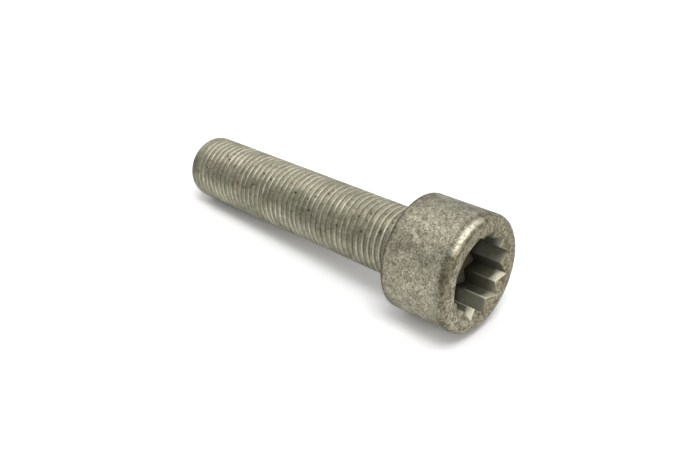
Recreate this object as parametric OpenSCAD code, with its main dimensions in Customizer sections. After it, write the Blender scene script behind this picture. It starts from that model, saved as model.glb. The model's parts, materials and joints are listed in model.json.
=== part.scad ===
// Socket head cap screw with a twelve-point (triple-square) socket, fine threaded up to the head.
// It lies on its side as it comes to rest, on the rim of the head and the end of the shank.
// Origin: centre of the bearing face under the head. +Z is up, and the head points to +X.

/* [Head] */
// Diameter of the head
head_d = 16; // [14:0.1:20]
// Height of the head above its bearing face
head_h = 10; // [8.5:0.1:16]
// Radius of the rounded edge at the top of the head
crown_r = 1; // [0.3:0.1:1.5]
// Radius of the broken edge at the bearing face
seat_edge_r = 0.2; // [0.05:0.05:0.5]

/* [Shank] */
// Diameter over the crests of the thread
thread_d = 9.8; // [8:0.1:11]
// Length from the bearing face to the end
shank_l = 44; // [16:1:120]
// Radius of the fillet between shank and head
neck_r = 0.4; // [0.1:0.05:0.8]
// Height and depth of the 45 degree chamfer at the end
tip_chamfer = 1.1; // [0.3:0.1:2]

/* [Socket] */
// Distance between opposite flats of each of the three squares
flats_w = 8.5; // [6:0.1:8.8]
// Diameter of the circle that cuts the points of the socket
points_d = 11.9; // [8.4:0.1:12]
// Depth of the socket's walls below the top of the head
socket_depth = 5.2; // [3:0.1:5.8]
// Angle of the cone at the bottom of the socket
floor_angle = 140; // [118:1:170]
// Diameter of the lead-in at the top of the head
lead_in_d = 12; // [11:0.1:13]
// Angle of the lead-in cone
lead_in_angle = 120; // [90:5:150]
// Turn of the socket about the axis as the screw lies
socket_turn = 7; // [0:1:29]

/* [Hidden] */
$fn = 96;
// How far a cut runs past the face that it opens
past = 0.5;
// A square has its corners this far from its flats
corner_turn = 45;
// Three squares, a third of a quarter turn apart, make the twelve points
squares = 3;
square_step = 90 / squares;
head_r = head_d / 2;
thread_r = thread_d / 2;
floor_drop = points_d / 2 / tan(floor_angle / 2);
lead_in_depth = lead_in_d / 2 / tan(lead_in_angle / 2);
// The screw rests on the rounded rim under its head and on the edge where its end chamfer starts.
// The two are compared as [place along the axis, distance from the axis].
rim = [seat_edge_r, head_r - seat_edge_r];
toe = [tip_chamfer - shank_l, thread_r];
lie_angle = atan2(rim.y - toe.y, rim.x - toe.x) + asin(seat_edge_r / norm(rim - toe));

// What is cut off a square corner at the origin to round it, the corner lying towards +X and +Y
module corner_waste(radius) {
    translate([-radius, -radius]) difference() {
        square(radius + past);
        circle(radius);
    }
}

// Half section of the screw: X is the distance from the axis, Y the height above the bearing face.
// The square step at the neck is hollowed to its fillet.
module half_section() {
    difference() {
        polygon([
            [0, head_h],
            [head_r, head_h],
            [head_r, 0],
            [thread_r + neck_r, 0],
            [thread_r + neck_r, -neck_r],
            [thread_r, -neck_r],
            [thread_r, tip_chamfer - shank_l],
            [thread_r - tip_chamfer, -shank_l],
            [0, -shank_l],
        ]);
        translate([head_r, head_h]) corner_waste(crown_r);
        translate([head_r, 0]) mirror([0, 1]) corner_waste(seat_edge_r);
        translate([thread_r + neck_r, -neck_r]) circle(neck_r);
    }
}

// The blank that the socket is punched into, upright with its head on top
module blank() {
    rotate_extrude() half_section();
}

// Three crossed square bars
module crossed_squares(height) {
    for (turn = [0 : squares - 1])
        rotate([0, 0, turn * square_step - corner_turn])
            linear_extrude(height) square(flats_w, center = true);
}

// The punch: the crossed squares with their points cut to a cylinder, and its nose to a cone
module punch() {
    length = socket_depth + floor_drop + past;
    intersection() {
        translate([0, 0, -socket_depth - floor_drop]) rotate([0, 0, socket_turn]) crossed_squares(length);
        rotate_extrude() polygon([
            [0, past],
            [points_d / 2, past],
            [points_d / 2, -socket_depth],
            [0, -socket_depth - floor_drop],
        ]);
    }
}

// The cone that opens the mouth of the socket, its slope carried on past the face
module lead_in() {
    rise = past / tan(lead_in_angle / 2);
    translate([0, 0, -lead_in_depth])
        cylinder(h = lead_in_depth + rise, r1 = 0, r2 = lead_in_d / 2 + past);
}

module cap_screw() {
    color("#8f8b78") rotate([0, 90 - lie_angle, 0]) difference() {
        blank();
        translate([0, 0, head_h]) {
            punch();
            lead_in();
        }
    }
}

cap_screw();
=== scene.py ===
# %% [markdown]
# A worn socket head cap screw
#
# This lesson gives a steel cap screw its fine thread, its worn edges and its dirty plating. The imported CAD
# model already holds the screw's place, its head and its twelve-point socket. The thread is too fine for the
# CAD source, so the whole skin is worked out again here, on the same sizes, as one closed surface.

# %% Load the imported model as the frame
import json
import math
import bpy
import numpy as np
from mathutils import Matrix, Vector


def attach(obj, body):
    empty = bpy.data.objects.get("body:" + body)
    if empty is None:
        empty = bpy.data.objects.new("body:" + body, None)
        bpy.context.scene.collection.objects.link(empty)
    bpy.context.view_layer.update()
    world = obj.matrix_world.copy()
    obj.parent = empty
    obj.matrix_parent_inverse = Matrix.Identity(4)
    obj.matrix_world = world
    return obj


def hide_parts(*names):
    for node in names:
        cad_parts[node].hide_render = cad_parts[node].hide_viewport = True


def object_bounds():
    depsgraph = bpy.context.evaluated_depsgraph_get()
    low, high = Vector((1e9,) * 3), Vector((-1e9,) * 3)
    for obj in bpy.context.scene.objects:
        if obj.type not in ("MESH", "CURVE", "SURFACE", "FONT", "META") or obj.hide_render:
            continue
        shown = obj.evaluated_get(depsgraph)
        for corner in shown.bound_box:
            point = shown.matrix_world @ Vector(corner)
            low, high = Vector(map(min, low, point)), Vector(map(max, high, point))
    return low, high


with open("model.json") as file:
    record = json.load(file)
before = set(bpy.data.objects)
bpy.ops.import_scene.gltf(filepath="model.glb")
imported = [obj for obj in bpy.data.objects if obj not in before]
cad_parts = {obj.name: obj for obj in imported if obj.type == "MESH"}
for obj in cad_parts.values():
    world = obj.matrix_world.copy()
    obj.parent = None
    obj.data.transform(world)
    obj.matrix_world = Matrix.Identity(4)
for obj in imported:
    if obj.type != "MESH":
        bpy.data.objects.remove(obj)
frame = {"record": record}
cad_box = [list(corner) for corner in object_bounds()]
print("CAD box in metres:", cad_box)

# %% [markdown]
# Where the screw lies
#
# The screw lies on the rim of its head and on the end of its shank, so its axis is a little raised. The
# mounts in the record say where the bearing face is and which way the axis points. Everything below is worked
# out in millimetres along that axis and round it, and turned into metres once, when the mesh is made.

# %% Sizes from the record
MM = 0.001
mounts = {mount["name"]: mount for mount in frame["record"]["mounts"]}
axis = -np.array(mounts["thread"]["axis"])
axis /= np.linalg.norm(axis)
side = np.array([0.0, 1.0, 0.0])
down = np.cross(side, axis)
thread_r = mounts["thread"]["dims"]["r_mm"]
head_r = mounts["head"]["dims"]["r_mm"]
points_r = mounts["drive_socket"]["dims"]["r_mm"]
socket_depth = mounts["drive_socket"]["dims"]["length_mm"]
head_h = round(float(np.linalg.norm(mounts["drive_socket"]["pos_m"])) / MM, 3)
print("axis", axis.round(5), "radius of the thread", thread_r, "and of the head", head_r)
print("height of the head", head_h, "radius of the socket", points_r, "and its depth", socket_depth)

# %% Sizes of the edges, in millimetres
crown_r = 1.0
seat_edge_r = 0.2
neck_r = 0.4
tip_chamfer = 1.1
flats_w = 8.5
lead_in_r = 6.0
tip_r = thread_r - tip_chamfer
shank_l = round((-cad_box[0][0] / MM - tip_r * down[0]) / axis[0], 2)
print("length under the head", shank_l, "end face radius", tip_r)

# %% Angles of the socket: the fall of its two cones from level, and its turn round the axis
lead_in_slope = math.tan(math.radians(30))
floor_slope = math.tan(math.radians(20))
socket_turn = math.radians(7)
print("over 1 mm the cones fall", round(lead_in_slope, 3), "and", round(floor_slope, 3), "mm")

# %% Place a point of the screw
def place(s, r, turn):
    """Point at s along the axis, r out from it and turn round it, where turn 0 is straight down.

    Formula: s * axis + r * (cos(turn) * down + sin(turn) * side).
    """
    s, r, turn = np.broadcast_arrays(s, r, turn)
    out = np.cos(turn)[..., None] * down + np.sin(turn)[..., None] * side
    return s[..., None] * axis + r[..., None] * out

print("lowest point of the end face", place([-shank_l], tip_r, 0.0).round(3))

# %% [markdown]
# Columns round the axis
#
# Every row of the skin has the same columns, so the shank, the head and the socket join without a seam. The
# columns are spaced by the socket, because its corners must fall on a column: a narrow pair in each of the
# twelve points, one on each ridge between them, and the rest spread in between.

# %% Angles of the columns
SOCKET_POINTS = 12
spread = np.radians([-14.4, -11.4, -8.2, -5.0, -2.0, 0.0, 2.0, 5.0, 8.2, 11.4, 14.4])
ridges = socket_turn + (np.arange(SOCKET_POINTS) + 0.5) * 2 * math.pi / SOCKET_POINTS
turns = (ridges[:, None] + spread[None, :]).ravel()
columns = len(turns)
share = (turns - turns[0]) / (2 * math.pi)
print(columns, "columns, widest gap", round(float(np.degrees(np.diff(turns).max())), 2), "degrees")

# %% [markdown]
# The thread
#
# A thread is a groove that runs round the shank as a helix, rolled between hard dies. This one is worn and
# half filled with plating and dirt, so its crests are wide, its grooves narrow and shallow, and both fade at
# the end. It could be a profile carried along the axis with a Screw modifier, but its ends would then need
# cutting. Here the grid itself is sheared: each column starts a little further along than the one before, by
# its share of the pitch. The rows then follow the crests exactly, and the last column runs on into the first
# one, a pitch further.

# %% Profile of the thread
pitch = 1.0
thread_depth = 0.31
rows_of_pitch = np.array([0.07, 0.2, 0.28, 0.36, 0.44, 0.5, 0.56, 0.64, 0.72, 0.8, 0.93])
profile_parts = [0, 0.2, 0.28, 0.44, 0.5]
profile_depths = [0, 0.005, 0.035, 0.29, thread_depth]

def groove_depth(part):
    """Depth below the crest at a part of the pitch: the profile's depth, read at the distance to a crest.

    The crest is wide and worn, the flanks stand about 60 degrees apart, and the root is round.
    """
    from_crest = np.minimum(part, 1 - part)
    return np.interp(from_crest, profile_parts, profile_depths) * pitch

print("depth of the rows", groove_depth(rows_of_pitch).round(3))

# %% Uneven wear, the same on each run
WAVES = 9

def ripple(points, size, seed):
    """Soft uneven value round 0 at each point, seldom past 1, with bumps about size millimetres long.

    Formula: the sum of sine waves in seeded directions, scaled so that it strays by a third on average.
    """
    chance = np.random.default_rng(seed)
    ways = chance.normal(size=(WAVES, 3))
    lengths = np.linalg.norm(ways, axis=1)[:, None]
    ways *= (2 * math.pi / size) * chance.uniform(0.6, 1.5, WAVES)[:, None] / lengths
    start = chance.uniform(0, 2 * math.pi, WAVES)
    return np.sin(points @ ways.T + start).mean(axis=-1) * math.sqrt(2 / WAVES) * WAVES / 3

trial = ripple(place(np.linspace(-shank_l, 0, 200), thread_r, 0.0), 7, 11)
print("along the shank, ripple runs from", trial.min().round(2), "to", trial.max().round(2))

# %% Helpers for soft limits
def at_turn(middle, reach):
    """1 at a turn in degrees, falling to 0 at reach from it on both sides: 1 - (distance / reach) squared."""
    away = (np.degrees(turns) - middle + 180) % 360 - 180
    return np.clip(1 - (away / reach) ** 2, 0, 1)[None, :]

def hill(value, middle, reach):
    """1 where value is at the middle, falling to 0 at reach from it: 1 - (distance / reach) squared."""
    return np.clip(1 - ((value - middle) / reach) ** 2, 0, 1)

def rise(value, start, end):
    """0 where value is at start, 1 at end, straight between them: (value - start) / (end - start)."""
    return np.clip((value - start) / (end - start), 0, 1)

print("columns within 30 degrees of the lowest one:", int((at_turn(0, 30) > 0).sum()))

# %% Places of the thread's rows
# The grid starts two runs early, so that its sheared rows cover the shank's start in every column.
first_step = 0.04
early_runs = 2
tip_s = -shank_l + first_step
neck_s = -neck_r
runs = np.arange(-early_runs, math.ceil((neck_s - tip_s) / pitch) + 1)
in_pitches = (runs[:, None] + rows_of_pitch[None, :]).ravel()
thread_s = tip_s + pitch * (in_pitches[:, None] + share[None, :])
crest_to_root = groove_depth(np.tile(rows_of_pitch, len(runs)))[:, None] / thread_depth
on_crests = place(thread_s, thread_r, turns[None, :])
print(thread_s.shape, "rows and columns of thread")

# %% Radius of the thread, with its filling and its nicks
# The thread starts weak and runs out before the neck. Dirt levels its groove off at open_depth, which is
# small in the middle of the photographed side and large lower down on it.
run_out = rise(thread_s, neck_s - 0.1, neck_s - 1.3)
first_turns = rise(thread_s, -shank_l + 0.9, -shank_l + 4.1)
open_depth = 0.31 - 0.16 * at_turn(-126, 36) + 0.23 * at_turn(-80, 42) - 0.10 * ripple(on_crests, 7, 11)
open_groove = open_depth * np.tanh(crest_to_root * thread_depth / open_depth)
large_nicks = 0.10 * np.clip(ripple(on_crests, 2.6, 5) - 0.55, 0, 1)
small_nicks = 0.02 * np.clip(ripple(on_crests, 1.1, 6), 0, 1)
nicks = (large_nicks + small_nicks) * (1 - crest_to_root)
thread_row_r = thread_r - open_groove * run_out * first_turns - nicks * run_out
print("thread's radius from", thread_row_r.min().round(3), "to", thread_row_r.max().round(3))

# %% Blend the thread into the chamfer: the smaller of the two radii, rounded where they cross
rounding = 0.6
chamfer_r = tip_r + np.clip(thread_s + shank_l, 0, None)
lean = np.clip(0.5 + 0.5 * (chamfer_r - thread_row_r) / rounding, 0, 1)
thread_row_r = chamfer_r + (thread_row_r - chamfer_r) * lean - rounding * lean * (1 - lean)
print("points on the chamfer:", int((lean < 1).sum()))

# %% [markdown]
# The head
#
# The head is turned and upset, so its outline is one profile carried round the axis: the small fillet at the
# neck, the flat bearing face, a broken edge, the plain side, and the rounded edge at the top. Arcs are given
# by their centre and a list of angles, so that every edge has its true radius. Handling left shallow dents in
# the side.

# %% Profile of the head
def arc(centre_s, centre_r, radius, angles):
    """Points [s, r] of an arc: centre + radius * (-cos(angle), sin(angle)), 0 degrees facing the shank."""
    a = np.radians(angles)
    return np.column_stack([centre_s - radius * np.cos(a), centre_r + radius * np.sin(a)])

quarter = np.radians([0, 18, 36, 54, 72, 90])
neck = np.column_stack([
    -neck_r + neck_r * np.sin(quarter),
    thread_r + neck_r - neck_r * np.cos(quarter)])
seat = np.array([[0, r] for r in (5.45, 6.4, 7.3, 7.68, 7.8)])
seat_edge = arc(seat_edge_r, head_r - seat_edge_r, seat_edge_r, [30, 60, 90])
side_steps = (0.5, 1.4, 2.6, 3.8, 5.0, 6.2, 7.4, 8.1, 8.6, head_h - crown_r)
side_rows = np.array([[s, head_r] for s in side_steps])
crown = arc(head_h - crown_r, head_r - crown_r, crown_r, np.linspace(90, 180, 9)[1:])
face = np.array([[head_h, r] for r in (6.85, 6.5, 6.15, lead_in_r)])
outline = np.vstack([neck, seat, seat_edge, side_rows, crown, face])
print(len(outline), "rows from the neck to the mouth of the socket")

# %% [markdown]
# The socket
#
# A punch of three crossed squares makes the twelve-point socket. Seen along the axis, each side of a square
# runs straight from a point to a ridge, so the radius follows one formula from every point to the ridges
# beside it. A lead-in cone breaks the mouth, and a shallow cone closes the bottom.

# %% Outline of the socket seen along the axis
def star_radius(turn):
    """Distance of the wall from the axis, capped at the radius of the points.

    Formula: half the flats / cos(45 degrees - angle from the nearest point).
    """
    period = 2 * math.pi / SOCKET_POINTS
    from_point = np.abs((turn - socket_turn + period / 2) % period - period / 2)
    return np.minimum(flats_w / 2 / np.cos(math.pi / 4 - from_point), points_r)

wall = star_radius(turns)
print("wall from", wall.min().round(3), "on the ridges to", wall.max().round(3), "in the points")

# %% Rows of the socket: lead-in cone, eased corner, wall, floor
# One millimetre up the lead-in cone is half a millimetre along the axis and 0.866 out.
corner_s = head_h - (lead_in_r - wall) * lead_in_slope
bottom_s = head_h - socket_depth - (points_r - wall) * floor_slope
ease = 0.12 * (lead_in_r - wall)
cone_way_s, cone_way_r = 0.5, 0.866
rows_s, rows_r = [], []

def add_row(s, r):
    """Adds one row of the skin, with a value for every column."""
    rows_s.append(np.broadcast_to(s, columns))
    rows_r.append(np.broadcast_to(r, columns))

for part in (0.1, 0.5, 0.86):
    add_row(head_h - part * (lead_in_r - wall) * lead_in_slope, lead_in_r - part * (lead_in_r - wall))
for part in (0.0, 1 / 3, 2 / 3, 1.0):
    up_cone, down_wall = ease * (1 - part) ** 2, ease * part ** 2
    add_row(corner_s + up_cone * cone_way_s - down_wall, wall + up_cone * cone_way_r)
for part in (0.12, 0.24, 0.34, 0.44, 0.55, 0.75, 0.97, 1.0):
    add_row(corner_s - ease + part * (bottom_s - corner_s + ease), wall)
for part in (0.96, 0.7, 0.4, 0.15):
    add_row(head_h - socket_depth - (points_r - wall * part) * floor_slope, wall * part)
socket_s, socket_r = np.array(rows_s), np.array(rows_r)
print(len(socket_s), "rows of socket")

# %% [markdown]
# One closed skin
#
# The rows now go into one mesh, from the middle of the end face, up the thread, over the head and down to the
# middle of the socket's floor. A row whose points all share one number is a pole. Where the sheared grid of
# the thread runs past its ends, its points take the number of the ring there, and the faces that shrink to
# nothing are dropped, which leaves no gap.

# %% Rings before and after the thread
tip_rows = np.array([
    [-shank_l, 1.3],
    [-shank_l, 2.6],
    [-shank_l, 3.5],
    [-shank_l, tip_r - 0.08],
    [-shank_l + 0.015, tip_r - 0.01],
    [tip_s, tip_r + first_step]])

def rings(profile):
    """The places and radii of a profile's points, each repeated in every column."""
    return [np.repeat(profile[:, part:part + 1], columns, axis=1) for part in (0, 1)]

before_s, before_r = rings(tip_rows)
outline_s, outline_r = rings(outline)
after_s, after_r = np.vstack([outline_s, socket_s]), np.vstack([outline_r, socket_r])
print(len(before_s), "rings before the thread,", len(after_s), "after it")

# %% Dents in the head's side: a depth * (a half + an uneven value), where that is above 0
DENT = 0.018
SIDE_FOOT_S = 0.3
dents = DENT * np.clip(0.5 + ripple(place(after_s, after_r, turns[None, :]), 3.4, 21), 0, None)
on_side = (after_r > head_r - crown_r - 0.01) & (after_s > SIDE_FOOT_S)
after_r = after_r - np.where(on_side, dents, 0)
print("deepest dent", round(float(dents[on_side].max()), 3), "mm")

# %% Number the points
# A point of the thread's grid this near its first or last ring, or past it, belongs to the ring.
WELD = 0.012
poles = place(np.array([-shank_l, head_h - socket_depth - points_r * floor_slope]), 0.0, 0.0)
blocks_s, blocks_r = [before_s, thread_s, after_s], [before_r, thread_row_r, after_r]
blocks = [place(s, r, turns[None, :]).reshape(-1, 3) for s, r in zip(blocks_s, blocks_r)]
points = np.vstack(blocks + [poles])
starts = np.cumsum([0] + [s.size for s in blocks_s])
numbers = [start + np.arange(s.size).reshape(s.shape) for start, s in zip(starts, blocks_s)]
before_n, thread_n, after_n = numbers
thread_n = np.where(thread_s < tip_s + WELD, before_n[-1][None, :], thread_n)
thread_n = np.where(thread_s > neck_s - WELD, after_n[0][None, :], thread_n)
print(len(points), "points before welding")

# %% Join the rows with faces
def band(rows):
    """Corners of the faces between rows: lower j, lower j + 1, upper j + 1, upper j, closed all round."""
    lower, upper = rows[:-1], rows[1:]
    return np.stack([lower, np.roll(lower, -1, -1), np.roll(upper, -1, -1), upper], axis=-1).reshape(-1, 4)

def sheared_band(rows, rows_in_pitch):
    """The same on the thread, where the last column meets the first one a whole pitch further up."""
    wrapped = np.hstack([rows[:-rows_in_pitch], rows[rows_in_pitch:, :1]])
    lower, upper = wrapped[:-1], wrapped[1:]
    return np.stack([lower[:, :-1], lower[:, 1:], upper[:, 1:], upper[:, :-1]], axis=-1).reshape(-1, 4)

first_pole = np.full((1, columns), len(points) - 2)
last_pole = np.full((1, columns), len(points) - 1)
quads = np.vstack([
    band(np.vstack([first_pole, before_n])),
    sheared_band(thread_n, len(rows_of_pitch)),
    band(np.vstack([after_n, last_pole]))])
print(len(quads), "faces before the empty ones go")

# %% Drop the faces that shrank to a line
same = quads == np.roll(quads, -1, axis=1)
shrunk = same.sum(axis=1)
fours, folded = quads[shrunk == 0], quads[shrunk == 1]
which = np.argmax(same[shrunk == 1], axis=1)[:, None]
threes = np.take_along_axis(folded, (which + np.array([[1, 2, 3]])) % 4, axis=1)
used, fresh = np.unique(np.concatenate([fours.ravel(), threes.ravel()]), return_inverse=True)
fours, threes = fresh[:fours.size].reshape(-1, 4), fresh[fours.size:].reshape(-1, 3)
print(len(fours), "quads,", len(threes), "triangles,", len(used), "points")
print("counted as triangles:", 2 * len(fours) + len(threes))

# %% [markdown]
# Masks for the finish
#
# Dirt sits in the grooves and on parts of the crown, and wear shines on the edges of the thread, of the head
# and of the socket, with painted highlights and glints there as well. Painted shade darkens the neck, the
# head's lower edge and the socket further in. The finish needs to know where those are, so each point of the
# mesh carries a few numbers from 0 to 1, worked out from the same rows. The painted light and painted shade
# on the side the camera sees are masks as well: each has its middle turn round the axis and its reach, in
# degrees. Turn 0 is straight down, -90 is level with the axis on the side the camera sees, and 180 is
# straight up.

# %% Where the head's and the socket's points are
# round_crown is the angle round the crown's arc, 0 at the side and 90 at the face. Inside FACE_R it is set to
# OFF_CROWN, which no hill reaches. The wall starts after the lead-in cone's rows and the corner's first one.
FACE_R = 6.5
SIDE_R = 7.5
OFF_CROWN = 200
ROWS_TO_CORNER = 4
below = head_h - after_s
row = np.arange(len(after_s))[:, None]
inside = np.broadcast_to(row >= len(outline), after_s.shape)
on_floor = (after_r < 0.97 * wall) & (below > socket_depth)
on_wall = (row >= len(outline) + ROWS_TO_CORNER) & ~on_floor
crown_turn = np.degrees(np.arctan2(after_s - head_h + crown_r, after_r - head_r + crown_r))
round_crown = np.where(inside | (after_r < FACE_R), OFF_CROWN, crown_turn)
on_head_side = (round_crown < 12) & (after_r > SIDE_R)
print(int(on_wall.sum()), "points on the socket's walls,", int(on_floor.sum()), "on its floor")

# %% Masks of the end and of the thread
# The worn edge, with a painted glint, is on one edge of each groove, the one nearer the end of the shank.
# Painted shade on the lower side of the end.
painted_shade_end = 0.65 * at_turn(-102, 50)
groove_by_side = 0.90 + 0.10 * at_turn(-80, 45) - 0.20 * at_turn(-121, 32)
groove = crest_to_root * np.clip(run_out + 0.3, 0, 1) * first_turns * groove_by_side
groove_edge = np.tile(hill(rows_of_pitch, 0.29, 0.085), len(runs))[:, None]
# Painted glints on the worn edges: near the neck, on the top and low on the side.
neck_glint = 1.2 * hill(thread_s, -2.0, 4.2) * at_turn(-125, 75)
glint_by_side = 0.06 + 0.62 * at_turn(-178, 42) + 0.45 * at_turn(-82, 34)
crest_glint = np.clip(glint_by_side + neck_glint + 0.6 * ripple(on_crests, 4, 31), 0, 1)
# Painted light on the shank's top and low on its side; painted shade in a band along its middle.
painted_light_shank = (0.30 * at_turn(-172, 32) + 0.12 * at_turn(-80, 14)) * (0.4 + 0.6 * first_turns)
painted_shade_shank = np.clip(0.44 * at_turn(-119, 28) + painted_shade_end * rise(thread_s, -41, -43), 0, 1)
print("share of the thread that shines", round(float((groove_edge * first_turns * crest_glint).mean()), 3))

# %% Masks of the head
# Painted shade darkens the neck and the head's lower edge, and dirt sits on parts of the crown. Painted light
# and painted shade lie on parts of the side, the crown and the face, by their turn round the axis.
# Painted shade in the crease at the neck and on the head's lower edge.
neck_shade = 0.9 * hill(after_r, thread_r + 0.2, 0.7) * (after_s < 0.1)
seat_edge_shade = 0.9 * rise(after_s, 0.62, 0.12) * (after_r > 7)
crown_grime = (0.7 * hill(round_crown, 25, 45) * at_turn(-114, 26)
               + 0.75 * hill(round_crown, 66, 13) * at_turn(-140, 52))
# Painted light on parts of the head's side, the crown and the face.
painted_light_head = (0.42 * at_turn(-160, 27) * rise(after_s, -1, 5) + 0.48 * at_turn(-90, 34)) * on_head_side
painted_light_crown = 0.25 * hill(round_crown, 50, 40) * at_turn(-66, 36)
painted_light_face = 0.5 * rise(after_s, 9.8, 9.94) * ~inside * at_turn(-66, 66)
# Painted shade under the crown, on the top of the side and on parts of the crown.
painted_shade_under_crown = 0.7 * hill(after_s, 8.9, 0.8) * (1 - 0.8 * at_turn(-88, 26))
painted_shade_head = (painted_shade_under_crown + 0.22 * at_turn(-202, 20)) * on_head_side
painted_shade_crown = (0.35 * hill(round_crown, 4, 34) * at_turn(-60, 30)
              + 0.2 * hill(round_crown, 25, 50) * at_turn(-200, 20))
print("share of the head that is pale", round(float((painted_light_head + painted_light_crown + painted_light_face).mean()), 3))

# %% Masks of the socket
away_from_ridge = np.tile(spread, SOCKET_POINTS)
to_side_middle = 30 * np.where(away_from_ridge >= 0, 1, -1)
side_middle = np.degrees(turns - away_from_ridge) - to_side_middle

def on_side_at(middle):
    """True on the two wall pieces of the square's side whose middle is at a turn in degrees."""
    return (np.abs((side_middle - middle + 180) % 360 - 180) < 5)[None, :]

# At the mouth, two sides of the squares get painted light, some ridges a painted highlight and other walls a
# paler painted light. Further in, the walls and the floor get painted shade.
on_ridge = (away_from_ridge == 0)[None, :]
to_mouth = rise(below, 1.6, 1.0)
# Painted light on two sides of the squares at the mouth.
painted_lit_wall = (on_side_at(22) + 0.55 * on_side_at(-8)) * to_mouth
# Painted highlights along some ridges.
ridge_highlight = on_ridge * at_turn(12, 50) * (0.6 * rise(below, 4.4, 3.4) + 0.4 * to_mouth)
# Paler painted light on other walls near the mouth.
painted_paler_wall = (0.12 * on_side_at(52) * rise(below, 4.8, 4.0)
             + 0.22 * (at_turn(135, 60) + on_side_at(82)) * rise(below, 1.7, 0.9))
# Painted shade on the walls further in, and on the floor.
deep_wall_shade = 0.6 * (1 - on_side_at(52)) * rise(below, 2.2, 3.7)
deep_floor_shade = 0.9 * (on_wall * rise(below, 4.4, 5.1) + on_floor)
print("share of the socket that is painted_bright", round(float((on_wall * painted_lit_wall).mean()), 3))

# %% Put the masks together
def by_part(end=0.0, thread=0.0, rest=0.0, socket_middle=0.0):
    """One mask for the points that are used: its values on the end, on the thread, and on head and socket.

    They are kept within 0 and 1. The two poles come last: the middle of the end, then of the socket's floor.
    """
    parts = [np.broadcast_to(value, s.shape).ravel() for value, s in zip((end, thread, rest), blocks_s)]
    return np.clip(np.concatenate(parts + [[0.0, socket_middle]]), 0, 1)[used].astype(np.float32)

masks = {
    "groove": by_part(thread=groove),
    # Worn edges of the thread, with painted glints.
    "crest": by_part(thread=groove_edge * first_turns * crest_glint),
    # Painted light on parts of the end, the shank and the head.
    "painted_light": by_part(
        end=0.1 * at_turn(-178, 38), thread=painted_light_shank, rest=painted_light_head + painted_light_crown + painted_light_face),
    "spotted": by_part(thread=0.25 + 0.75 * at_turn(-136, 36)),
    # Painted shade on parts of the end, the shank and the head.
    "painted_shade": by_part(end=painted_shade_end, thread=painted_shade_shank, rest=painted_shade_head + painted_shade_crown),
    # Dirt on the crown, and painted shade at the neck, the head's lower edge and in the socket.
    "dirt_and_shade": by_part(
        rest=np.clip(neck_shade + seat_edge_shade + crown_grime + on_wall * deep_wall_shade + deep_floor_shade, 0, 0.95),
        socket_middle=0.9),
    # Wear on the crown, with a painted highlight.
    "rubbed_with_highlight": by_part(rest=hill(round_crown, 20, 27) * at_turn(-160, 26)),
    "rim": by_part(rest=rise(after_s, 8.7, 9.2) * ~inside + inside * ~on_wall),
    # Painted light and highlights on the socket's walls near the mouth.
    "mouth": by_part(rest=on_wall * np.clip(painted_lit_wall + painted_paler_wall + ridge_highlight, 0, 1)),
    "deep": by_part(rest=on_wall * rise(below, 0.2, 0.9) + on_floor, socket_middle=1.0),
    "shank": by_part(end=1.0, thread=1.0, rest=rise(after_s, 0, -0.3)),
}
for name, values in masks.items():
    print("mask", name, "from", values.min(), "to", values.max())

# %% Make the mesh
mesh = bpy.data.meshes.new("cap_screw_skin")
mesh.from_pydata((points[used] * MM).tolist(), [], fours.tolist() + threes.tolist())
mesh.shade_smooth()
mesh.set_sharp_from_angle(angle=math.radians(28))
for name, values in masks.items():
    mesh.attributes.new(name, "FLOAT", "POINT").data.foreach_set("value", values)
skin = bpy.data.objects.new("cap_screw_skin", mesh)
bpy.context.scene.collection.objects.link(skin)
edges = np.vstack([
    faces[:, [i, (i + 1) % faces.shape[1]]] for faces in (fours, threes) for i in range(faces.shape[1])])
faces_at_edge = np.unique(np.sort(edges, axis=1), axis=0, return_counts=True)[1]
print("edges shared by other than two faces:", int((faces_at_edge != 2).sum()))

# %% [markdown]
# Effects for the finish
#
# Old plating is never one colour: it has soft blotches, small grains of darker and lighter grey, and here and
# there a dark pit. Each effect is a node group with its own inputs, made once and placed several times with
# its own sizes. The groups put out only masks; the shader itself stays in the material.

# %% Helpers for node groups
def new_group(name, **values):
    """A shader node group with a Vector input, number inputs with their first values, and a Mask output.

    Gives the group and its two end nodes.
    """
    group = bpy.data.node_groups.new(name, "ShaderNodeTree")
    group.interface.new_socket("Vector", in_out="INPUT", socket_type="NodeSocketVector")
    for label, value in values.items():
        number = group.interface.new_socket(label, in_out="INPUT", socket_type="NodeSocketFloat")
        number.default_value = value
    group.interface.new_socket("Mask", in_out="OUTPUT", socket_type="NodeSocketFloat")
    return group, group.nodes.new("NodeGroupInput"), group.nodes.new("NodeGroupOutput")

blotches, enter, leave = new_group("blotches", Scale=500.0, Detail=3.0, Roughness=0.5, Low=0.4, High=0.6)
print("blotches takes and gives", [socket.name for socket in blotches.interface.items_tree])

# %% Blotches: soft patches where a noise passes a level
noise = blotches.nodes.new("ShaderNodeTexNoise")
level = blotches.nodes.new("ShaderNodeMapRange")
level.interpolation_type = "SMOOTHSTEP"
for label in ("Vector", "Scale", "Detail", "Roughness"):
    blotches.links.new(enter.outputs[label], noise.inputs[label])
blotches.links.new(enter.outputs["Low"], level.inputs["From Min"])
blotches.links.new(enter.outputs["High"], level.inputs["From Max"])
blotches.links.new(noise.outputs["Fac"], level.inputs["Value"])
blotches.links.new(level.outputs["Result"], leave.inputs["Mask"])
print("group blotches has", len(blotches.nodes), "nodes")

# %% Cells with chance colours, for the pits and the grains
def new_cells(group, enter):
    """A Voronoi pattern in a group, on its Vector and Scale; gives its distance, and its colour in parts."""
    cells = group.nodes.new("ShaderNodeTexVoronoi")
    apart = group.nodes.new("ShaderNodeSeparateColor")
    for label in ("Vector", "Scale"):
        group.links.new(enter.outputs[label], cells.inputs[label])
    group.links.new(cells.outputs["Color"], apart.inputs["Color"])
    return cells.outputs["Distance"], apart.outputs

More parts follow.
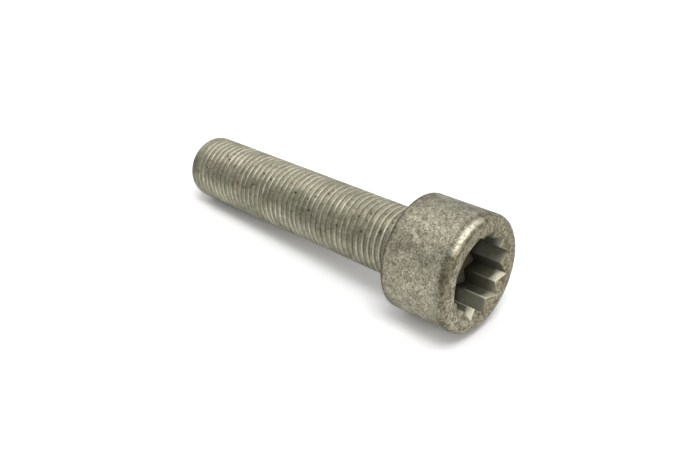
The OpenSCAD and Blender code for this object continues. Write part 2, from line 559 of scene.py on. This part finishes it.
pits, enter, leave = new_group("pits", Scale=700.0, Size=0.3, Rarity=0.55)
distance, chances = new_cells(pits, enter)
print("pits has", len(pits.nodes), "nodes before its spots")

# %% Pits: small round spots, most of them left out by chance
def feed(tree, target, value):
    """Links value into an input, or sets it there where it is a plain number or colour."""
    if isinstance(value, bpy.types.NodeSocket):
        tree.links.new(value, target)
    else:
        target.default_value = value

def maths(tree, operation, *values):
    """One Math node: its operation on the values, each of them a number or another node's output."""
    node = tree.nodes.new("ShaderNodeMath")
    node.operation = operation
    for target, value in zip(node.inputs, values):
        feed(tree, target, value)
    return node.outputs["Value"]

spots = pits.nodes.new("ShaderNodeMapRange")
spots.interpolation_type = "SMOOTHSTEP"
spots.inputs["From Min"].default_value = 0.16
spots.inputs["To Min"].default_value, spots.inputs["To Max"].default_value = 1.0, 0.0
pits.links.new(enter.outputs["Size"], spots.inputs["From Max"])
pits.links.new(distance, spots.inputs["Value"])
rare = maths(pits, "GREATER_THAN", chances["Red"], enter.outputs["Rarity"])
pits.links.new(maths(pits, "MULTIPLY", spots.outputs["Result"], rare), leave.inputs["Mask"])
print("group pits has", len(pits.nodes), "nodes")

# %% Grains: small cells of uneven strength
grains, enter, leave = new_group("grains", Scale=5000.0, Low=0.5, High=0.9)
_, chances = new_cells(grains, enter)
level = grains.nodes.new("ShaderNodeMapRange")
grains.links.new(enter.outputs["Low"], level.inputs["From Min"])
grains.links.new(enter.outputs["High"], level.inputs["From Max"])
grains.links.new(chances["Green"], level.inputs["Value"])
grains.links.new(level.outputs["Result"], leave.inputs["Mask"])
print("group grains has", len(grains.nodes), "nodes")

# %% [markdown]
# The plating
#
# The finish is a matt grey-beige plating on steel, half metal and half dirt. It is built in layers, from the
# clean plating up: blotches, a browner rim, painted light and painted shade, grains, dark dirt in the
# grooves, dirt on the crown with painted shade at the neck, the head's lower edge and in the socket, and
# bright worn edges with painted glints and highlights, and painted light on the socket's walls at the mouth.
# Each layer is a mix whose factor is one or more of the masks.
# The walls of the socket are smooth and grey, because the punch left them so and no wear reaches them.

# %% A material on the object's own coordinates
plating = bpy.data.materials.new("worn_plating")
plating.use_nodes = True
plating_tree = plating.node_tree
shader = plating_tree.nodes["Principled BSDF"]
where = plating_tree.nodes.new("ShaderNodeTexCoord").outputs["Object"]

def effect(group, **values):
    """Places a node group on the object's own coordinates, with its values; gives its mask."""
    node = plating_tree.nodes.new("ShaderNodeGroup")
    node.node_tree = group
    plating_tree.links.new(where, node.inputs["Vector"])
    for label, value in values.items():
        node.inputs[label].default_value = value
    return node.outputs["Mask"]

def mask(name):
    """One of the numbers that the mesh carries."""
    node = plating_tree.nodes.new("ShaderNodeAttribute")
    node.attribute_name = name
    return node.outputs["Fac"]

print("worn_plating starts with", len(plating_tree.nodes), "nodes")

# %% Masks of the finish
wide = effect(blotches, Scale=230.0, Detail=3.0, Low=0.42, High=0.60)
middling = effect(blotches, Scale=800.0, Detail=4.0, Low=0.36, High=0.64)
fine = effect(blotches, Scale=2600.0, Detail=6.0, Roughness=0.75, Low=0.46, High=0.60)
dark_grain = effect(grains, Scale=5200.0, Low=0.45, High=0.95)
light_grain = effect(grains, Scale=6100.0, Low=0.55, High=0.95)
pepper = effect(blotches, Scale=2000.0, Detail=5.0, Roughness=0.7, Low=0.48, High=0.56)
glint = effect(blotches, Scale=1700.0, Detail=4.0, Roughness=0.7, Low=0.50, High=0.64)
green_patch = effect(blotches, Scale=240.0, Detail=2.0, Low=0.52, High=0.68)
brown_patch = effect(blotches, Scale=360.0, Detail=4.0, Low=0.54, High=0.66)
spot = effect(pits, Scale=1100.0, Size=0.34, Rarity=0.62)
# These masks include painted light, painted shade, painted glints and painted highlights.
in_groove, crest_wear_and_glint, painted_light, spotted, painted_shade, dirt_and_shade = (
    mask(name) for name in ("groove", "crest", "painted_light", "spotted", "painted_shade", "dirt_and_shade"))
rubbed_with_highlight, on_rim, painted_socket_light, deep, on_shank = (
    mask(name) for name in ("rubbed_with_highlight", "rim", "mouth", "deep", "shank"))
off_shank = maths(plating_tree, "SUBTRACT", 1.0, on_shank)
root = maths(plating_tree, "POWER", in_groove, 4.0)
print("masks placed, nodes so far:", len(plating_tree.nodes))

# %% Helpers for the layers
# A Mix node has inputs for each kind of value: these are the places of its two colours and of their mix.
MIX_UNDER, MIX_OVER, MIX_RESULT = 6, 7, 2

def written(red, green, blue):
    """Linear colour for one written as 0 to 255 on a screen: ((c + 0.055) / 1.055) to the power 2.4."""
    c = np.array([red, green, blue]) / 255
    return (*np.where(c <= 0.04045, c / 12.92, ((c + 0.055) / 1.055) ** 2.4).tolist(), 1.0)

def times(*values):
    """Product of masks and numbers."""
    total = values[0]
    for value in values[1:]:
        total = maths(plating_tree, "MULTIPLY", total, value)
    return total

def scaled(value, by, plus):
    """A mask scaled and shifted: value * by + plus."""
    return maths(plating_tree, "MULTIPLY_ADD", value, by, plus)

def layer(under, over, factor):
    """Lays one colour over another: under * (1 - factor) + over * factor."""
    node = plating_tree.nodes.new("ShaderNodeMix")
    node.data_type = "RGBA"
    feed(plating_tree, node.inputs["Factor"], factor)
    feed(plating_tree, node.inputs[MIX_UNDER], under)
    feed(plating_tree, node.inputs[MIX_OVER], over)
    return node.outputs[MIX_RESULT]

print("clean plating in linear colour:", np.round(written(132, 129, 111), 3))

# %% Colour, layer by layer
dark_amount = scaled(painted_light, 0.35, scaled(off_shank, 0.30, 0.24))
light_amount = scaled(painted_light, 0.3, scaled(off_shank, 0.15, 0.18))
layers = {
    "light blotches": ((186, 182, 159), middling),
    "wide dark blotches": ((123, 120, 103), times(wide, 0.45)),
    "plating of the shank": ((142, 140, 117), times(on_shank, 0.5)),
    "green tinge": ((122, 130, 106), times(green_patch, on_shank, 0.35)),
    "brown tinge": ((128, 113, 92), times(brown_patch, scaled(off_shank, 0.25, 0.3))),
    "brown rim": ((152, 141, 106), times(on_rim, 0.5)),
    # Painted light on parts of the end, the shank and the head.
    "pale parts": ((206, 200, 174), painted_light),
    # Painted shade on parts of the end, the shank and the head.
    "dull parts": ((82, 78, 62), painted_shade),
    "fine dirt": ((84, 80, 65), times(fine, scaled(off_shank, 0.30, 0.12))),
    "dark grains": ((60, 57, 45), times(dark_grain, dark_amount)),
    "light grains": ((214, 210, 190), times(light_grain, light_amount)),
    "pepper": ((58, 51, 36), times(pepper, scaled(on_rim, 0.4, 0.2))),
    "dirt in the grooves": ((44, 40, 30), times(root, 0.9)),
    "dark pits": ((46, 33, 25), times(spot, spotted, 0.9)),
    # Worn edges of the thread, with painted glints.
    "worn edges and painted glints of the thread": ((255, 250, 228), times(crest_wear_and_glint, scaled(glint, 0.4, 0.6))),
    # Worn crown with a painted highlight.
    "rubbed crown": ((255, 250, 224), times(rubbed_with_highlight, scaled(pepper, -0.45, 1.0))),
    "walls of the socket": ((112, 112, 98), times(deep, 0.9)),
    # Dirt on the crown, and painted shade at the neck, the head's lower edge and in the socket.
    "dirt": ((62, 57, 43), dirt_and_shade),
    # Painted light and highlights on the socket's walls near the mouth.
    "painted_bright edges of the socket": ((255, 252, 226), painted_socket_light),
}
colour = written(132, 129, 111)
for what, (over, factor) in layers.items():
    colour = layer(colour, written(*over), factor)
    colour.node.label = what
plating_tree.links.new(colour, shader.inputs["Base Color"])
print("colour has", len(layers), "layers, nodes so far:", len(plating_tree.nodes))

# %% Gloss and metal
rough = scaled(root, 0.15, scaled(middling, -0.08, 0.50))
plating_tree.links.new(rough, shader.inputs["Roughness"])
metal = scaled(rubbed_with_highlight, -0.25, scaled(painted_socket_light, -0.55, 0.55))
plating_tree.links.new(scaled(root, -0.2, metal), shader.inputs["Metallic"])
shader.inputs["Specular Tint"].default_value = (0.7, 0.7, 0.7, 1.0)
shader.inputs["Specular IOR Level"].default_value = 0.3
print("gloss and metal set, nodes so far:", len(plating_tree.nodes))

# %% Relief of the plating
relief = maths(plating_tree, "ADD", times(fine, -0.35), times(middling, 0.5))
relief = maths(plating_tree, "SUBTRACT", relief, times(spot, 0.8))
bump = plating_tree.nodes.new("ShaderNodeBump")
bump.inputs["Strength"].default_value = 0.8
bump.inputs["Distance"].default_value = 0.05 * MM
plating_tree.links.new(relief, bump.inputs["Height"])
plating_tree.links.new(bump.outputs["Normal"], shader.inputs["Normal"])
skin.data.materials.append(plating)
print("worn_plating has", len(plating_tree.nodes), "nodes")

# %% Tie the skin to the frame
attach(skin, "root")
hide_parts("cap_screw")
print("the skin rides on root and stands for cap_screw")

# %% [markdown]
# The floor
#
# A plain floor lies just under the screw's lowest points. Seen by the camera and in reflections it is white
# and glows a little, which softens the shadow as in the photograph; the light that it throws back on the
# screw is less. The glow dies away close under the screw, where the contact shadow is dark, and grows far
# from it, where the lamps no longer reach, so that the floor runs into the white of the room without an edge.

# %% Make the floor
FLOOR_HALF = 3.0
floor_z = cad_box[0][2]
lines = np.linspace(-FLOOR_HALF, FLOOR_HALF, 3)
floor_x, floor_y = np.meshgrid(lines, lines)
floor_points = np.column_stack([floor_x.ravel(), floor_y.ravel(), np.full(floor_x.size, floor_z)])
corner = np.array([0, 1, 3, 4])
floor_faces = np.column_stack([corner, corner + 1, corner + 4, corner + 3])
floor_mesh = bpy.data.meshes.new("floor")
floor_mesh.from_pydata(floor_points.tolist(), [], floor_faces.tolist())
floor = bpy.data.objects.new("floor", floor_mesh)
bpy.context.scene.collection.objects.link(floor)
print("floor at", floor_z)

# %% White to the eye, grey to the light that falls back on the screw
def seen_by_eye(tree):
    """1 for camera, glossy and transmission rays, 0 for the rest: the greatest of the three."""
    rays = tree.nodes.new("ShaderNodeLightPath").outputs
    most = maths(tree, "MAXIMUM", rays["Is Camera Ray"], rays["Is Glossy Ray"])
    return maths(tree, "MAXIMUM", most, rays["Is Transmission Ray"])

paper = bpy.data.materials.new("white_floor")
paper.use_nodes = True
paper_tree = paper.node_tree
paper_shader = paper_tree.nodes["Principled BSDF"]
paper_shader.inputs["Roughness"].default_value = 0.9
paper_shader.inputs["Specular IOR Level"].default_value = 0.1
eye = seen_by_eye(paper_tree)
tint = paper_tree.nodes.new("ShaderNodeMix")
tint.data_type = "RGBA"
tint.inputs[MIX_UNDER].default_value = (0.8, 0.8, 0.8, 1.0)
tint.inputs[MIX_OVER].default_value = (1.0, 1.0, 1.0, 1.0)
paper_tree.links.new(eye, tint.inputs["Factor"])
paper_tree.links.new(tint.outputs[MIX_RESULT], paper_shader.inputs["Base Color"])
floor_mesh.materials.append(paper)
print("white_floor has", len(paper_tree.nodes), "nodes")

# %% Glow of the floor: less close under the screw, more far from it
open_sky = paper_tree.nodes.new("ShaderNodeAmbientOcclusion")
open_sky.inputs["Distance"].default_value = 2.5 * MM
on_floor_plane = paper_tree.nodes.new("ShaderNodeTexCoord")
how_far = paper_tree.nodes.new("ShaderNodeVectorMath")
how_far.operation = "LENGTH"
paper_tree.links.new(on_floor_plane.outputs["Object"], how_far.inputs[0])
by_distance = paper_tree.nodes.new("ShaderNodeMapRange")
for label, value in (("From Min", 0.08), ("From Max", 0.5), ("To Min", 0.24), ("To Max", 1.0)):
    by_distance.inputs[label].default_value = value
paper_tree.links.new(how_far.outputs["Value"], by_distance.inputs["Value"])
open_glow = maths(paper_tree, "MULTIPLY", open_sky.outputs["AO"], by_distance.outputs["Result"])
paper_tree.links.new(maths(paper_tree, "MULTIPLY", eye, open_glow), paper_shader.inputs["Emission Strength"])
paper_shader.inputs["Emission Color"].default_value = (1.0, 1.0, 1.0, 1.0)
print("the floor glows, white_floor has", len(paper_tree.nodes), "nodes")

# %% [markdown]
# Light
#
# Three soft lamps stand round the screw. The strongest is nearly overhead, on the camera's side, and gives
# the upper parts their light and the shadow its place; a lower one faces the head and lights the socket and
# the flanks of the thread; the weakest stands beyond the end. The pale world fills the shadows. Together they
# light a surface to about its written colour.

# %% Lamps
LAMP_DISTANCE = 1.2

def placed(turned, spot):
    """Matrix of an object: its own axes as columns, then its place."""
    matrix = np.eye(4)
    matrix[:3, :3], matrix[:3, 3] = turned, spot
    return Matrix(matrix.tolist())

def soft_lamp(name, azimuth, elevation, width, power):
    """A square area lamp on a sphere round the screw, turned to face it.

    Its way from the screw is (cos(azimuth) * cos(elevation), sin(azimuth) * cos(elevation), sin(elevation)).
    """
    lamp = bpy.data.lights.new(name, "AREA")
    lamp.shape, lamp.size, lamp.energy = "SQUARE", width, power
    a, e = math.radians(azimuth), math.radians(elevation)
    way = np.array([math.cos(a) * math.cos(e), math.sin(a) * math.cos(e), math.sin(e)])
    across = np.array([-math.sin(a), math.cos(a), 0.0])
    holder = bpy.data.objects.new(name, lamp)
    bpy.context.scene.collection.objects.link(holder)
    holder.matrix_world = placed(np.column_stack([across, np.cross(way, across), way]), way * LAMP_DISTANCE)
    holder.visible_camera = False

soft_lamp("above", azimuth=-42, elevation=71, width=0.5, power=6.8)
soft_lamp("left", azimuth=178, elevation=42, width=0.6, power=1.6)
soft_lamp("right", azimuth=-6, elevation=14, width=0.6, power=4.8)
print("lamps at", LAMP_DISTANCE, "m:", [lamp.name for lamp in bpy.data.lights])

# %% World: white to the eye, dimmer as light
world = bpy.data.worlds.new("pale_room")
world.use_nodes = True
bpy.context.scene.world = world
world_tree = world.node_tree
sky = world_tree.nodes["Background"]
sky.inputs["Color"].default_value = (1.0, 1.0, 1.0, 1.0)
strength = world_tree.nodes.new("ShaderNodeMapRange")
strength.inputs["To Min"].default_value, strength.inputs["To Max"].default_value = 0.36, 1.0
world_tree.links.new(seen_by_eye(world_tree), strength.inputs["Value"])
world_tree.links.new(strength.outputs["Result"], sky.inputs["Strength"])
print("world set")

# %% [markdown]
# Camera
#
# The camera's place and lens were found by fitting the outline of the screw, the points of its socket and the
# spacing of its thread in the photograph, all at once. It stands close, so the head looks larger than the
# end.

# %% Set the camera
camera_at = np.array([51.1426, -68.5156, 58.2687]) * MM
looks = np.array([-0.569768, 0.612974, -0.547383])
looks /= np.linalg.norm(looks)
right = np.cross(looks, [0, 0, 1])
right /= np.linalg.norm(right)
camera = bpy.data.objects.new("camera", bpy.data.cameras.new("camera"))
camera.data.sensor_width, camera.data.lens, camera.data.clip_start = 36.0, 40.1665, 5 * MM
bpy.context.scene.collection.objects.link(camera)
camera.matrix_world = placed(np.column_stack([right, np.cross(right, looks), -looks]), camera_at)
bpy.context.scene.camera = camera
bpy.context.scene.view_settings.view_transform = "Standard"
print("camera at", camera_at)
